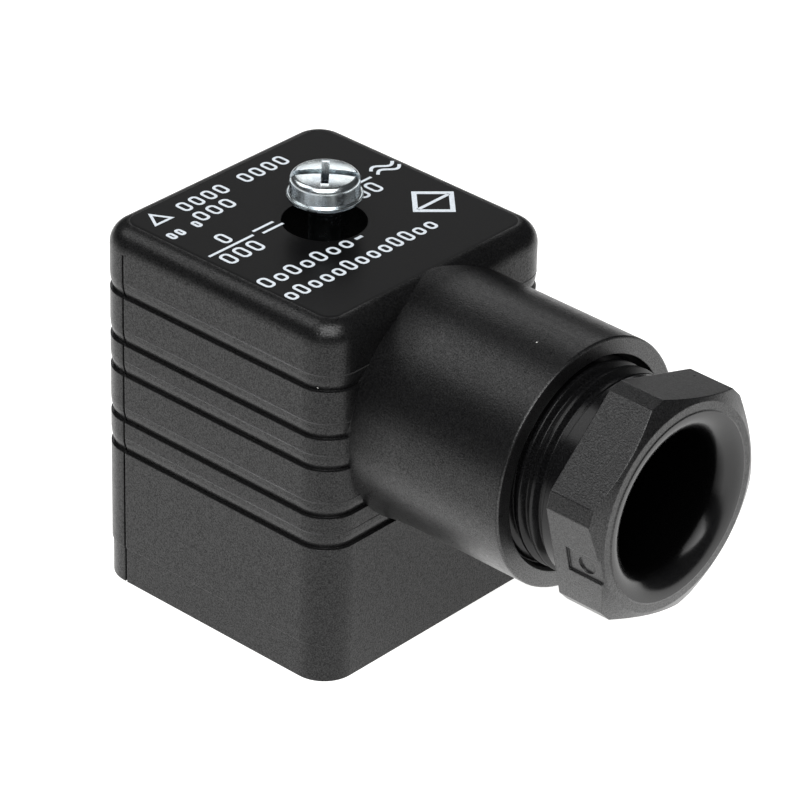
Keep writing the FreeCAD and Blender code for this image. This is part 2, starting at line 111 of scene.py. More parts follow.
def piece(name, bm, body, material, smooth=True, replaces=()):
    """Turns a bmesh in millimetres into a piece that rides on a body."""
    bmesh.ops.recalc_face_normals(bm, faces=bm.faces)
    for face in bm.faces:
        face.smooth = smooth
    mesh = bpy.data.meshes.new(name)
    bm.to_mesh(mesh)
    bm.free()
    mesh.transform(Matrix.Scale(MM, 4))
    mesh.materials.append(material)
    obj = bpy.data.objects.new(name, mesh)
    bpy.context.scene.collection.objects.link(obj)
    if body:
        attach(obj, body)
    if replaces:
        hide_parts(*replaces)
    return obj


def modify(obj, kind, **settings):
    """Adds a modifier and applies it to the mesh."""
    modifier = obj.modifiers.new(kind.lower(), kind)
    for key, value in settings.items():
        setattr(modifier, key, value)
    graph = bpy.context.evaluated_depsgraph_get()
    done = bpy.data.meshes.new_from_object(obj.evaluated_get(graph))
    obj.modifiers.clear()
    old = obj.data
    obj.data = done
    bpy.data.meshes.remove(old)


def soften(obj, width, segments, degrees):
    """Rounds the edges sharper than the angle, over a width in millimetres."""
    modify(obj, "BEVEL", width=width * MM, segments=segments, limit_method="ANGLE",
           angle_limit=math.radians(degrees))


def sharpen(obj, degrees):
    """Keeps the shading creased at edges sharper than the angle."""
    obj.data.set_sharp_from_angle(angle=math.radians(degrees))


def loft(bm, rings, close=False):
    """Quads between rings of points, closed into a loop of rings or capped at both ends."""
    loops = [[bm.verts.new(p) for p in ring] for ring in rings]
    pairs = list(zip(loops, loops[1:]))
    if close:
        pairs.append((loops[-1], loops[0]))
    for a, b in pairs:
        for i in range(len(a)):
            j = (i + 1) % len(a)
            bm.faces.new((a[i], a[j], b[j], b[i]))
    if not close:
        bm.faces.new(list(reversed(loops[0])))
        bm.faces.new(loops[-1])


def lathe(bm, profile, centre=(0, 0, 0), axis="Z", steps=96, closed=False):
    """Turned solid from (distance along the axis, radius) pairs. A closed profile makes a ring."""
    c = Vector(centre)
    rings = []
    for along, radius in profile:
        ring = []
        for i in range(steps):
            a = 2 * math.pi * i / steps
            u, v = radius * math.cos(a), radius * math.sin(a)
            ring.append(c + (Vector((along, u, v)) if axis == "X" else Vector((u, v, along))))
        rings.append(ring)
    loft(bm, rings, close=closed)


def arc(centre, radius, start, end, steps):
    """Points of an arc in a profile, angles in degrees."""
    points = []
    for i in range(steps + 1):
        a = math.radians(start + (end - start) * i / steps)
        points.append((centre[0] + radius * math.cos(a), centre[1] + radius * math.sin(a)))
    return points


def rectangle(x, y, half_x, half_y, z):
    """Corners of an upright block's section, anticlockwise."""
    return [(x + i * half_x, y + j * half_y, z) for i, j in ((-1, -1), (1, -1), (1, 1), (-1, 1))]


def box_into(bm, low, high):
    """Axis-aligned block between two corners."""
    (x0, y0, z0), (x1, y1, z1) = low, high
    loft(bm, [[(x0, y0, z), (x1, y0, z), (x1, y1, z), (x0, y1, z)] for z in (z0, z1)])


def ribbon(bm, points, width, low, high, closed=False):
    """Flat strip of even width along a line in the plane, mitred at its corners."""
    n = len(points)
    left, right = [], []
    for i, p in enumerate(points):
        p = Vector(p)
        before = Vector(points[i - 1]) if i or closed else None
        after = Vector(points[(i + 1) % n]) if i < n - 1 or closed else None
        d0 = (p - before).normalized() if before is not None else (after - p).normalized()
        d1 = (after - p).normalized() if after is not None else d0
        mid = (d0 + d1).normalized()
        side = Vector((-mid.y, mid.x)) * (width / 2 / max(0.3, mid.dot(d0)))
        left.append(p + side)
        right.append(p - side)
    rings = [[(*a, low), (*b, low), (*b, high), (*a, high)] for a, b in zip(left, right)]
    loft(bm, rings, close=closed)


def threaded_rod(bm, centre, z0, z1, crest, root, steps=40, per_turn=10):
    """Rod with a helical thread that dies away towards both ends."""
    fade_in, fade_out = 0.8 * SCREW_PITCH, 0.5 * SCREW_PITCH
    rings = []
    count = int(round((z1 - z0) / SCREW_PITCH * per_turn))
    for i in range(count + 1):
        z = z0 + (z1 - z0) * i / count
        fade = min(1.0, (z - z0) / fade_in, (z1 - z) / fade_out)
        ring = []
        for k in range(steps):
            a = 2 * math.pi * k / steps
            phase = (z / SCREW_PITCH - k / steps) % 1.0
            # A ridge with sloping sides: 0.84 of the pitch wide at its root and 0.22 at its crest
            ridge = min(1.0, max(0.0, 1.35 - abs(phase - 0.5) * 3.2))
            r = root + (crest - root) * ridge * max(0.0, fade)
            ring.append((centre[0] + r * math.cos(a), centre[1] + r * math.sin(a), z))
        rings.append(ring)
    loft(bm, rings)


# --- materials ---------------------------------------------------------------

class Shader:
    """A material's node graph, with short calls for the nodes that the finishes share."""

    def __init__(self, name, color, roughness, metallic=0.0, specular=0.5):
        self.material = bpy.data.materials.new(name)
        self.material.use_nodes = True
        self.tree = self.material.node_tree
        self.tree.nodes.clear()
        self.bsdf = self.node("ShaderNodeBsdfPrincipled")
        self.set("Base Color", (*color, 1))
        self.set("Roughness", roughness)
        self.set("Metallic", metallic)
        self.set("Specular IOR Level", specular)
        out = self.node("ShaderNodeOutputMaterial")
        self.tree.links.new(self.bsdf.outputs[0], out.inputs["Surface"])
        self.place = self.node("ShaderNodeTexCoord").outputs["Object"]

    def node(self, kind, **settings):
        made = self.tree.nodes.new(kind)
        for key, value in settings.items():
            setattr(made, key, value)
        return made

    def set(self, socket, value):
        """Gives one of the surface shader's inputs a number, a colour or another node's output."""
        self.feed(self.bsdf.inputs[socket], value)

    def feed(self, socket, value):
        """Gives any node's input a number, a colour or another node's output."""
        if isinstance(value, bpy.types.NodeSocket):
            self.tree.links.new(value, socket)
        else:
            socket.default_value = value

    def math(self, operation, a, b=0.0):
        """A sum on one or two numbers or outputs."""
        made = self.node("ShaderNodeMath", operation=operation)
        for socket, value in zip(made.inputs, (a, b)):
            self.feed(socket, value)
        return made.outputs[0]

    def product(self, first, *others):
        for other in others:
            first = self.math("MULTIPLY", first, other)
        return first

    def past(self, value, limit):
        """1 where the value is above the limit, and 0 elsewhere."""
        return self.math("GREATER_THAN", value, limit)

    def short_of(self, value, limit):
        """1 where the value is below the limit, and 0 elsewhere."""
        return self.math("LESS_THAN", value, limit)

    def distance(self, a, b):
        """How far a point at a and b in a plane is from the middle."""
        return self.math("SQRT", self.math("ADD", self.product(a, a), self.product(b, b)))

    def scaled(self, scale):
        """The object's coordinates, stretched by three factors."""
        made = self.node("ShaderNodeMapping")
        self.feed(made.inputs["Vector"], self.place)
        made.inputs["Scale"].default_value = scale
        return made.outputs[0]

    def axes(self):
        """X, Y and Z of the point on the object, in millimetres."""
        made = self.node("ShaderNodeSeparateXYZ")
        self.feed(made.inputs[0], self.scaled([1 / MM] * 3))
        return made.outputs

    def noise(self, size, detail=2.0, rough=0.5, stretch=(1, 1, 1)):
        """Noise whose features are about size millimetres across."""
        made = self.node("ShaderNodeTexNoise")
        self.feed(made.inputs["Vector"], self.scaled([s / (size * MM) for s in stretch]))
        made.inputs["Scale"].default_value = 1.0
        made.inputs["Detail"].default_value = detail
        made.inputs["Roughness"].default_value = rough
        return made.outputs["Fac"]

    def ramp(self, value, low, high, to_low=0.0, to_high=1.0):
        """Runs evenly from to_low to to_high while the value goes from low to high, and stays there."""
        made = self.node("ShaderNodeMapRange", clamp=True)
        for socket, number in zip(made.inputs, (value, low, high, to_low, to_high)):
            self.feed(socket, number)
        return made.outputs[0]

    def blend(self, factor, a, b):
        """Mixes two colours: a where the factor is 0, b where it is 1."""
        made = self.node("ShaderNodeMix", data_type="RGBA")
        self.feed(made.inputs["Factor"], factor)
        self.feed(made.inputs["A"], (*a, 1) if isinstance(a, tuple) else a)
        self.feed(made.inputs["B"], (*b, 1) if isinstance(b, tuple) else b)
        return made.outputs["Result"]

    def rounded(self, radius):
        """The surface normal with edges rounded over a radius in millimetres."""
        made = self.node("ShaderNodeBevel", samples=6)
        made.inputs["Radius"].default_value = radius * MM
        return made.outputs[0]

    def relief(self, height, depth, normal=None):
        """Bump of a depth in millimetres on top of a normal."""
        made = self.node("ShaderNodeBump")
        made.inputs["Distance"].default_value = depth * MM
        made.inputs["Strength"].default_value = 1.0
        self.feed(made.inputs["Height"], height)
        if normal is not None:
            self.feed(made.inputs["Normal"], normal)
        return made.outputs[0]

    def specks(self, spacing, size, share):
        """1 in small round specks, scattered over a share of the cells."""
        made = self.node("ShaderNodeTexVoronoi", feature="F1")
        self.feed(made.inputs["Vector"], self.scaled([1 / (spacing * MM)] * 3))
        made.inputs["Scale"].default_value = 1.0
        near = self.short_of(made.outputs["Distance"], size / spacing)
        pick = self.node("ShaderNodeSeparateColor")
        self.feed(pick.inputs[0], made.outputs["Color"])
        return self.product(near, self.short_of(pick.outputs[0], share))


def moulded_black(name, dark, light, low, high, grain, dust=0.0, edge_radius=0.12, gloss=(0.14, 0.5)):
    """Black moulded plastic: eroded grain, flow marks from the glass fibres and a little dust.

    Its roughness runs from low to high. What the parts of a piece may change is kept on the shader.
    """
    s = Shader(name, dark, high)
    fine = s.noise(0.16, detail=1.0, rough=0.6)
    flow = s.noise(2.6, detail=4.0, rough=0.55, stretch=(0.5, 1.0, 1.4))
    mottle = s.product(s.ramp(fine, 0.35, 0.75), s.ramp(flow, 0.25, 0.75, 0.55, 1.0))
    s.color = s.blend(mottle, dark, light)
    if dust:
        s.color = s.blend(s.specks(2.4, 0.075, dust), s.color, (0.62, 0.62, 0.6))
    s.set("Base Color", s.color)
    s.rough = s.ramp(s.noise(0.5, detail=3.0), 0.3, 0.7, low, high)
    s.set("Roughness", s.rough)
    s.edges = s.rounded(edge_radius)
    s.bump = s.relief(fine, grain, s.edges)
    s.set("Normal", s.bump)
    s.gloss = s.ramp(s.noise(0.12, detail=1.0), 0.3, 0.7, *gloss)
    s.set("Specular IOR Level", s.gloss)
    return s


def smooth_where(s, mask, roughness, grain, gloss):
    """Gives the masked parts an even roughness and gloss, and only a share of the grain."""
    other = s.math("SUBTRACT", 1.0, mask)
    changes = {"Roughness": (s.rough, roughness), "Specular IOR Level": (s.gloss, gloss)}
    for socket, (varied, even) in changes.items():
        s.set(socket, s.math("ADD", s.product(varied, other), s.product(mask, even)))
    s.feed(s.bump.node.inputs["Strength"], s.ramp(mask, 0.0, 1.0, 1.0, grain))


def collar_painted_reflection(s, x, y, z):
    """The housing's gloss, with painted reflection on the collar: raised below and on its end, lowered
    behind and at its root.
    """
    below = s.product(s.past(x, COLLAR_START), s.ramp(z, 13, 24, 2.6, 0.0))
    end_ring = s.past(x, COLLAR_END - 0.1)
    collar = s.math("SUBTRACT", s.past(x, COLLAR_START), end_ring)
    behind = s.product(collar, s.ramp(y, -3, 4, 0.0, 0.75))
    over_gland = s.ramp(s.math("ABSOLUTE", y), 6, 11, 1.0, 0.0)
    brow = s.product(over_gland, s.ramp(z, 28, 31), s.past(x, TOP_FACE_END))
    root = s.product(s.ramp(x, 14.2, 18.5, 0.8, 0.0), s.ramp(z, 20, 26))
    dull = s.math("MAXIMUM", behind, s.product(s.math("MAXIMUM", collar, brow), root))
    shine = s.math("ADD", s.math("MAXIMUM", below, end_ring), 1.0)
    return s.product(s.gloss, shine, s.math("SUBTRACT", 1.0, dull))


def housing_plastic():
    """Eroded walls, and a smoother face for the print, coloured darker as painted shade."""
    edge = 0.12
    s = moulded_black("housing_plastic", (0.004, 0.004, 0.0042), (0.013, 0.013, 0.0133),
                      0.27, 0.36, 0.016, dust=0.07, edge_radius=edge)
    x, y, z = s.axes()
    # Painted reflection: the collar's gloss is raised low down and on its end, and lowered behind and at
    # its root
    s.gloss = collar_painted_reflection(s, x, y, z)
    # The walls' edges and the collar's end are rounded; where the collar meets the wall stays crisp
    walls = s.ramp(x, 13.8, COLLAR_START, edge * MM, 0.0)
    collar_end = s.ramp(x, 26.0, 28.0, 0.0, edge * MM)
    s.feed(s.edges.node.inputs["Radius"], s.math("ADD", walls, collar_end))
    top = s.product(s.past(z, TOP - 0.02), s.short_of(x, TOP_FACE_END))
    smooth_where(s, top, roughness=0.34, grain=0.3, gloss=0.042)
    # Painted shade: the flat top is coloured darker than the walls
    s.set("Base Color", s.blend(top, s.color, (0.0052, 0.0052, 0.0055)))
    return s.material


def nut_plastic():
    """The same plastic, smoother on the neck with the thread and in the bore, with painted shade deep in
    the bore and painted reflection low on the nut.
    """
    bore_r, neck_r, neck_end = 8.5, 9.3, 34.9
    s = moulded_black("nut_plastic", (0.0028, 0.0028, 0.003), (0.011, 0.011, 0.0115),
                      0.27, 0.36, 0.016, dust=0.06, edge_radius=0.15, gloss=(0.34, 0.86))
    x, y, z = s.axes()
    # Painted reflection: gloss raised on the lower part of the nut
    s.gloss = s.product(s.gloss, s.ramp(z, 15.0, 22.0, 1.8, 1.0))
    radius = s.distance(y, s.math("SUBTRACT", z, GLAND_Z))
    bore = s.short_of(radius, bore_r)
    neck = s.product(s.short_of(x, neck_end), s.short_of(radius, neck_r))
    # Painted shade in the bore: its gloss falls almost to nothing deep inside
    gloss = s.product(s.ramp(radius, 6.4, 6.9, 0.04, 0.5), s.ramp(neck, 0.0, 1.0, 1.0, 0.5))
    smooth_where(s, s.math("MAXIMUM", bore, neck), roughness=0.2, grain=0.12, gloss=gloss)
    # Painted shade: the bore's colour darkens to near black deep inside
    s.set("Base Color", s.blend(s.ramp(radius, 6.2, 7.2), (0.0008, 0.0008, 0.0008), s.color))
    return s.material


def crease_highlight_plastic():
    """Plastic of the fine raised lines on the ribs, coloured light grey as a painted highlight that fades
    darker towards the gland's end.
    """
    s = moulded_black("crease_highlight_plastic", (0.09, 0.09, 0.092), (0.15, 0.15, 0.152), 0.45, 0.6, 0.01)
    # Painted highlight along the lines, fading darker towards the gland's end, with less gloss
    s.set("Base Color", s.blend(s.ramp(s.axes()[0], 9.0, 13.8), s.color, (0.03, 0.03, 0.03)))
    s.set("Specular IOR Level", s.product(s.gloss, 0.4))
    return s.material


def carrier_plastic():
    """Matt moulded plastic of the contact carrier."""
    return moulded_black("carrier_plastic", (0.01, 0.01, 0.0105), (0.024, 0.024, 0.025),
                         0.42, 0.55, 0.012, edge_radius=0.1).material


def natural_plastic():
    """Uncoloured, slightly translucent plastic of the ring that keeps the screw in."""
    s = Shader("retainer_plastic", (0.62, 0.6, 0.53), 0.45)
    s.set("Base Color", s.blend(s.noise(0.8), (0.55, 0.53, 0.46), (0.66, 0.64, 0.57)))
    s.set("Subsurface Weight", 0.15)
    s.set("Subsurface Radius", (0.001, 0.0008, 0.0006))
    s.set("Normal", s.relief(s.noise(0.2), 0.01))
    return s.material


def rubber(name, color, roughness):
    """Matt rubber with a fine bloom."""
    s = Shader(name, color, roughness, specular=0.35)
    pale = tuple(c * 2.2 for c in color)
    s.set("Base Color", s.blend(s.ramp(s.noise(0.9, detail=4.0), 0.4, 0.8, 0.0, 0.7), color, pale))
    s.set("Roughness", s.ramp(s.noise(0.25), 0.3, 0.7, roughness - 0.08, roughness + 0.08))
    s.set("Normal", s.relief(s.noise(0.09, detail=3.0), 0.008, s.rounded(0.08)))
    return s.material


def plated(name, pale, deep, roughness, grain, metallic=1.0, tint=(0.62, 0.72, 0.86)):
    """Zinc or tin plate: cloudy brightness, faint passivation colour and tool marks."""
    s = Shader(name, pale, roughness, metallic=metallic)
    cloud = s.ramp(s.noise(1.1, detail=2.0), 0.35, 0.7)
    hue = s.ramp(s.noise(1.6, detail=1.0), 0.45, 0.75, 0.0, 0.35)
    s.color = s.blend(hue, s.blend(cloud, deep, pale), tint)
    s.set("Base Color", s.color)
    s.set("Roughness", s.ramp(s.noise(0.8, detail=1.0), 0.3, 0.75, roughness * 0.8, roughness * 1.2))
    s.set("Normal", s.relief(s.noise(0.4, detail=1.0), grain, s.rounded(0.05)))
    return s


def fixing_screw_zinc():
    """Bright zinc plate, with painted shade darker down the head's side and deep in the recess of the
    head.
    """
    recess_r, recess_depth = 2.6, 1.9
    s = plated("zinc_steel", (0.86, 0.92, 0.93), (0.76, 0.83, 0.85), 0.25, 0.0025)
    x, y, z = s.axes()
    inside = s.short_of(s.distance(x, y), recess_r)
    in_head = s.past(z, HEAD_TOP - recess_depth)
    # Painted shade: dark deep in the recess, and darker down the head's side
    depth = s.ramp(z, HEAD_TOP - 1.2, HEAD_TOP - 0.25, 0.92, 0.0)
    side = s.ramp(z, HEAD_TOP - 1.0, HEAD_TOP - 0.5, 0.4, 0.0)
    outside = s.blend(side, s.color, (0.3, 0.34, 0.36))
    s.set("Base Color", s.blend(s.product(inside, in_head, depth), outside, (0.012, 0.02, 0.03)))
    return s.material


def board_laminate():
    """Green solder resist over glass cloth, paler at the routed edge."""
    s = Shader("board_laminate", (0.02, 0.16, 0.07), 0.32)
    weave = s.node("ShaderNodeTexChecker")
    s.feed(weave.inputs["Vector"], s.scaled([1 / (0.45 * MM)] * 3))
    weave.inputs["Scale"].default_value = 1.0
    face = s.past(s.axes()[2], BOARD_TOP - 0.02)
    green = s.blend(s.ramp(s.noise(3.0, detail=3.0), 0.3, 0.7), (0.012, 0.12, 0.05), (0.02, 0.17, 0.075))
    core = s.blend(s.noise(0.3), (0.32, 0.34, 0.16), (0.42, 0.43, 0.22))
    s.set("Base Color", s.blend(face, core, green))
    s.set("Roughness", s.ramp(s.noise(0.7), 0.3, 0.7, 0.25, 0.4))
    s.set("Normal", s.relief(weave.outputs["Fac"], 0.004, s.rounded(0.05)))
    return s.material


def board_track():
    """Copper under the solder resist."""
    s = Shader("board_track", (0.04, 0.26, 0.1), 0.28)
    s.set("Base Color", s.blend(s.noise(1.6), (0.03, 0.2, 0.08), (0.05, 0.3, 0.12)))
    s.set("Normal", s.relief(s.noise(0.3), 0.004))
    return s.material


def solder():
    """Bright solder, a little uneven."""
    s = Shader("solder", (0.72, 0.73, 0.74), 0.22, metallic=1.0)
    s.set("Base Color", s.blend(s.noise(0.5, detail=4.0), (0.6, 0.61, 0.62), (0.8, 0.81, 0.82)))
    s.set("Normal", s.relief(s.noise(0.25, detail=4.0), 0.01))
    return s.material


def brass():
    """Bare brass with sawn and tarnished patches."""
    s = Shader("terminal_metal", (0.74, 0.56, 0.28), 0.3, metallic=1.0)
    tarnish = s.ramp(s.noise(1.4, detail=3.0), 0.35, 0.75)
    s.set("Base Color", s.blend(tarnish, (0.78, 0.6, 0.31), (0.7, 0.52, 0.26)))
    s.set("Roughness", s.ramp(s.noise(0.4, detail=4.0), 0.3, 0.7, 0.28, 0.4))
    s.set("Normal", s.relief(s.noise(0.35, detail=1.0, stretch=(1, 1, 4)), 0.003, s.rounded(0.08)))
    return s.material


def diode_plastic():
    """Fine-grained moulding of the diodes' cases."""
    s = Shader("diode_plastic", (0.015, 0.015, 0.016), 0.5)
    s.set("Base Color", s.blend(s.noise(0.2, detail=3.0), (0.011, 0.011, 0.012), (0.028, 0.028, 0.029)))
    s.set("Normal", s.relief(s.noise(0.1, detail=3.0), 0.008, s.rounded(0.05)))
    return s.material


def ink(name, color):
    """Printed ink with a slightly uneven film."""
    s = Shader(name, color, 0.5)
    thin = tuple(c * 0.8 for c in color)
    s.set("Base Color", s.blend(s.ramp(s.noise(0.16, detail=4.0, rough=0.7), 0.35, 0.65), thin, color))
    s.set("Roughness", s.ramp(s.noise(0.3), 0.3, 0.7, 0.42, 0.6))
    return s.material


def light_table():
    """The white floor: a lit sheet, brightest round the connector and dimmer far out."""
    centre_y, bright_to, dim_from = 60, 130, 340
    s = Shader("floor", (0.8, 0.8, 0.8), 0.9, specular=0.1)
    x, y = s.axes()[:2]
    far = s.ramp(s.distance(x, s.math("SUBTRACT", y, centre_y)), bright_to, dim_from)
    near = s.blend(s.noise(30.0), (0.44, 0.44, 0.44), (0.46, 0.46, 0.46))
    s.set("Base Color", s.blend(far, near, (0.3, 0.3, 0.3)))
    s.set("Emission Color", (1.0, 0.995, 0.985, 1.0))
    s.set("Emission Strength", s.ramp(far, 0.0, 1.0, 1.02, 0.3))
    return s.material


# --- the outside ---------------------------------------------------------------

def wall_outline(start_x):
    """Outline of the housing's walls, from one side wall round the gland's end to the other."""
    s = HALF - CORNER_R
    points = [(start_x, -HALF)]
    points += arc((s, -s), CORNER_R, -90, 0, 10)
    points += arc((s, s), CORNER_R, 0, 90, 10)
    points.append((start_x, HALF))
    return points


def rib_creases(material):
    """Fine raised lines where the ribs' curves run out into the wall."""
    path = wall_outline(PARTING_X + 0.15)
    bm = bmesh.new()
    for z in CREASES:
        rings = []
        for i, p in enumerate(path):
            a = Vector(path[max(0, i - 1)])
            b = Vector(path[min(len(path) - 1, i + 1)])
            out = Vector((b.y - a.y, a.x - b.x)).normalized()
            rings.append([(p[0] + out.x * d, p[1] + out.y * d, z + h) for d, h in CREASE_SECTION])
        loft(bm, rings)
    piece("housing_crease_lines", bm, "housing", material)


def gland_thread(material):
    """The housing's internal thread, between the ridges of the nut's thread."""
    steps, fade_steps = 64, 12
    first = int((THREAD_FROM / PITCH - 0.5) * steps)
    last = int((THREAD_TO / PITCH - 0.5) * steps)
    section = [(THREAD_WALL_R, -THREAD_WALL_HALF), (THREAD_CREST_R, -THREAD_CREST_HALF),
               (THREAD_CREST_R, THREAD_CREST_HALF), (THREAD_WALL_R, THREAD_WALL_HALF)]
    rings = []
    for k in range(first, last + 1):
        a = 2 * math.pi * k / steps
        x = PITCH * (k / steps + 0.5)
        fade = min(1.0, (k - first) / fade_steps, (last - k) / fade_steps)
        ring = []
        for r, along in section:
            r = THREAD_WALL_R + (r - THREAD_WALL_R) * fade
            ring.append((x + along, r * math.sin(a), GLAND_Z - r * math.cos(a)))
        rings.append(ring)
    bm = bmesh.new()
    loft(bm, rings)
    piece("housing_gland_thread", bm, "housing", material, smooth=False)


def print_cell(bm, line, along, height, width):
    """Open rounded box that stands for one printed character. Lines run along Y, tops towards -X."""
    x0, x1 = line - height + STROKE / 2, line - STROKE / 2
    y0, y1 = along + STROKE / 2, along + width - STROKE / 2
    r = 0.42 * (y1 - y0)
    corners = ((x1 - r, y0 + r), (x1 - r, y1 - r), (x0 + r, y1 - r), (x0 + r, y0 + r))
    points = []
    for i, centre in enumerate(corners):
        points += arc(centre, r, 90 * i - 90, 90 * i, 4)
    ribbon(bm, points, STROKE, INK_LOW, INK_HIGH, closed=True)


def print_line(bm, line, start, pitch, heights):
    """Row of boxes that stand on a line, evenly spaced along Y. A height of 0 leaves a gap."""
    for i, height in enumerate(heights):
        if height:
            print_cell(bm, line, start + i * pitch, height, pitch * 0.7)


def print_bar(bm, x, y0, y1, width=STROKE):
    """Straight stroke along Y."""
    ribbon(bm, [(x, y0), (x, y1)], width, INK_LOW, INK_HIGH)


def print_fraction(bm, start):
    """One box over a bar over three boxes."""
    print_bar(bm, -2.5, start, start + 5.4)
    print_line(bm, -3.0, start + 2.6, 1.5, (1.75,))
    print_line(bm, -0.15, start + 0.4, 1.6, (1.85,) * 3)


def print_waves(bm, x, y, length):
    """Two waves, one above the other."""
    steps, amplitude = 14, 0.42
    for shift in (-0.42, 0.42):
        wave = []
        for i in range(steps + 1):
            t = i / steps
            wave.append((x + shift - amplitude * math.sin(2 * math.pi * t), y + length * t))
        ribbon(bm, wave, 0.32, INK_LOW, INK_HIGH)


def print_diamond(bm, x, y, half):
    """Diamond with a bar from corner to corner."""
    corners = [(x, y - half), (x + half, y), (x, y + half), (x - half, y)]
    ribbon(bm, corners, 0.45, INK_LOW, INK_HIGH, closed=True)
    print_bar(bm, x, y - half + 0.3, y + half - 0.3, 0.34)


def print_triangle(bm, x, y, radius):
    """Even triangle that points towards -X."""
    angles = (math.pi, -math.pi / 3, math.pi / 3)
    corners = [(x + radius * math.cos(a), y + radius * math.sin(a)) for a in angles]
    ribbon(bm, corners, STROKE, INK_LOW, INK_HIGH, closed=True)


def top_print(material):
    """Generic marks in place of the real connector's printing: boxes for characters, plain symbols."""
    four = (1.65,) * 4
    bm = bmesh.new()
    print_line(bm, -9.4, -7.3, 1.5, four + (0,) + four)
    print_line(bm, -7.2, -7.5, 1.6, (1.65,) * 3)
    print_line(bm, -6.7, -11.6, 1.0, (1.15, 1.15, 0, 1.15))
    print_line(bm, 4.9, -11.95, 1.6, (TALL, LOW, TALL, LOW, TALL, LOW, LOW))
    print_bar(bm, 4.2, -0.6, 0.25, 0.34)
    print_line(bm, 7.75, -12.0, 1.44,
               (LOW, TALL, LOW, LOW, LOW, TALL, LOW, LOW, LOW, TALL, TALL, LOW, LOW))
    for start in (-11.6, 3.2):
        print_fraction(bm, start)
    for x, y in ((-2.95, -5.8), (-2.15, -5.4)):
        print_bar(bm, x, y, y + 2.5)
    print_waves(bm, -2.8, 9.35, 2.75)
    print_diamond(bm, 4.4, 9.1, 2.3)
    print_triangle(bm, -10.16, -9.9, 1.1)
    piece("top_print", bm, "housing", material, smooth=False)


def cut_recess(head, centre, top, width, depth, cross, angle, radius):
    """Cuts a screwdriver slot and a narrower, deeper cross slot into a screw's head.

    The cross is given as the half sizes at its foot and at its mouth, and its depth.
    """
    (foot_x, foot_y), (mouth_x, mouth_y), cross_depth = cross
    slot, cross_slot = bmesh.new(), bmesh.new()
    box_into(slot, (-1.5 * radius, -width / 2, top - depth), (1.5 * radius, width / 2, top + 1))
    loft(cross_slot, [rectangle(0, 0, foot_x, foot_y, top - cross_depth),
                      rectangle(0, 0, mouth_x, mouth_y, top + 0.3)])
    for cutter in (slot, cross_slot):
        turn = Matrix.Rotation(angle, 3, "Z")
        bmesh.ops.rotate(cutter, verts=cutter.verts, cent=(0, 0, 0), matrix=turn)
        bmesh.ops.translate(cutter, verts=cutter.verts, vec=Vector((*centre, 0)))
        tool = piece("cutter", cutter, None, head.data.materials[0])
        modify(head, "BOOLEAN", operation="DIFFERENCE", object=tool, solver="EXACT")
        bpy.data.objects.remove(tool)


def fixing_screw(material):
    """Captive cheese-head screw with a pressed-on flange, and a thin shank between head and thread."""
    dome, rim, shank_from = 0.2, 0.6, 16.2
    head_r, flange_r, shank_r = 3.06, 3.2, 1.4
    edge = HEAD_TOP - dome
    flange = FLANGE_Z + 0.42
    profile = [(shank_from, shank_r - 0.1), (shank_from + 0.2, shank_r)]
    profile += [(FLANGE_Z, shank_r), (FLANGE_Z, flange_r)]
    profile += arc((FLANGE_Z + 0.13, flange_r), 0.13, 180, 90, 5)
    profile += arc((flange - 0.12, flange_r + 0.01), 0.12, 90, 0, 5)
    profile += [(flange, head_r + 0.08), (flange + 0.08, head_r)]
    profile += arc((edge - rim, head_r - rim), rim, 90, 12, 9)
    for share in (0.72, 0.48, 0.24):
        profile.append((HEAD_TOP - dome * share ** 2, (head_r - rim) * share))
    profile.append((HEAD_TOP, 0.02))
    bm = bmesh.new()
    lathe(bm, profile)
    head = piece("fixing_screw_head", bm, "fixing_screw",
                 material, replaces=("fixing_screw",))
    cut_recess(head, (0, 0), HEAD_TOP, width=0.88, depth=0.95, cross=((0.2, 1.5), (0.36, 2.1), 1.7),
               angle=SLOT_ANGLE, radius=head_r)
    soften(head, 0.06, 3, 38)
    sharpen(head, 30)
    bm = bmesh.new()
    threaded_rod(bm, (0, 0), 0.0, shank_from + 0.4, crest=1.49, root=1.22)
    rod = piece("fixing_screw_thread", bm, "fixing_screw", material, smooth=False)
    sharpen(rod, 50)


def grommet(material):
    """Ribbed seal between the wall and the thrust washer."""
    low, high = (v / MM for v in (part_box("grommet")[0].x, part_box("grommet")[1].x))
    outer, inner, ribs, depth = 8.5, 4.0, 4, 0.4
    mouth_r, corner_r, rib_steps = 0.45, 0.3, 12 * ribs
    profile = arc((low + mouth_r, inner + mouth_r), mouth_r, 180, 270, 4)
    profile += [(low + mouth_r + (high - low - 1.8) * i / 6, inner) for i in range(1, 6)]
    profile += [(high - 1.2, inner), (high - 0.1, inner + 1.0), (high, inner + 1.2), (high, outer - 0.35)]
    profile += arc((high - corner_r, outer - corner_r), corner_r, 0, 90, 4)
    start, end = high - 0.5, low + 0.5
    for i in range(1, rib_steps):
        t = i / rib_steps
        wave = max(0.0, math.sin(math.pi * t * ribs)) ** 6
        profile.append((start + (end - start) * t, outer - depth * wave))
    profile += arc((low + corner_r, outer - corner_r), corner_r, 90, 180, 4)
    bm = bmesh.new()
    lathe(bm, profile, (0, 0, GLAND_Z), "X", 72, closed=True)
    seal = piece("seal_grommet", bm, None, material, replaces=("grommet",))
    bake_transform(seal)


# --- the inside ----------------------------------------------------------------

